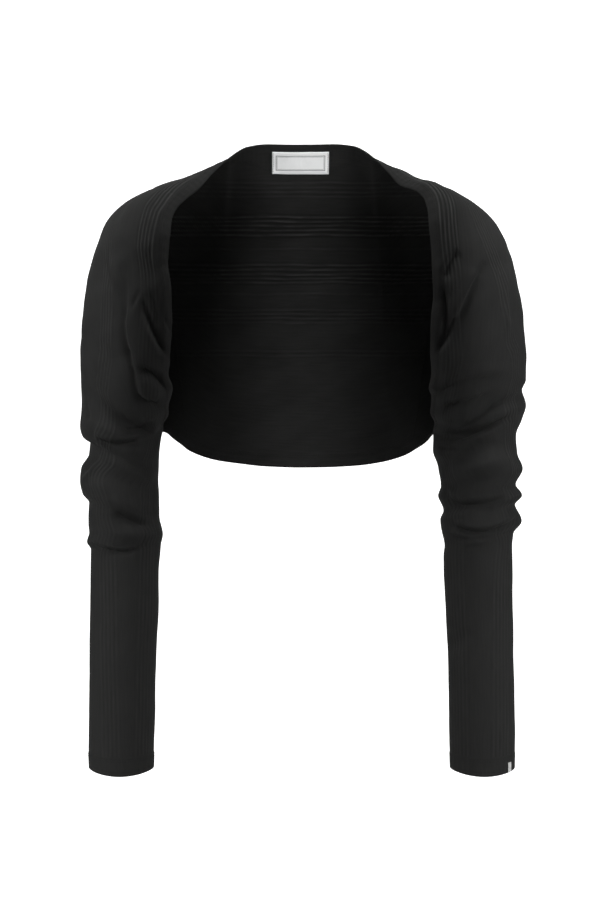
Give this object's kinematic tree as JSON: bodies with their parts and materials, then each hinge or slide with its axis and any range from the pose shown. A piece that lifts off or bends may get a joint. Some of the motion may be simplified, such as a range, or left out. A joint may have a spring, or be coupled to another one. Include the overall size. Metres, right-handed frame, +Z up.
{
  "type": "knitted shrug",
  "caption": "Open-front knitted shrug with long sleeves, pushed into folds at the elbows, filled out as worn, with an oval neck, front and hem opening.",
  "frame": {"origin": "between the shoulders, half way through the body: where the wearer's shoulders hold it up", "axes": "+Z up, the wearer faces -Y, the wearer's left sleeve is at +X"},
  "size_m": [0.4684, 0.1896, 0.6629],
  "materials": {
    "knit": "fine-gauge black knit, matte with a faint sheen",
    "knit_edge": "the same knit, turned and stitched",
    "label": "white woven label with a plain border",
    "tab": "light grey folded tape"
  },
  "bodies": {
    "root": {"back_panel": "knit", "sleeve_right": "knit", "sleeve_left": "knit", "neck_band": "knit_edge", "front_band_right": "knit_edge", "front_band_left": "knit_edge", "hem_band": "knit_edge", "cuff_right": "knit_edge", "cuff_left": "knit_edge", "neck_label": "label", "cuff_tab": "tab"}
  },
  "joints": []
}
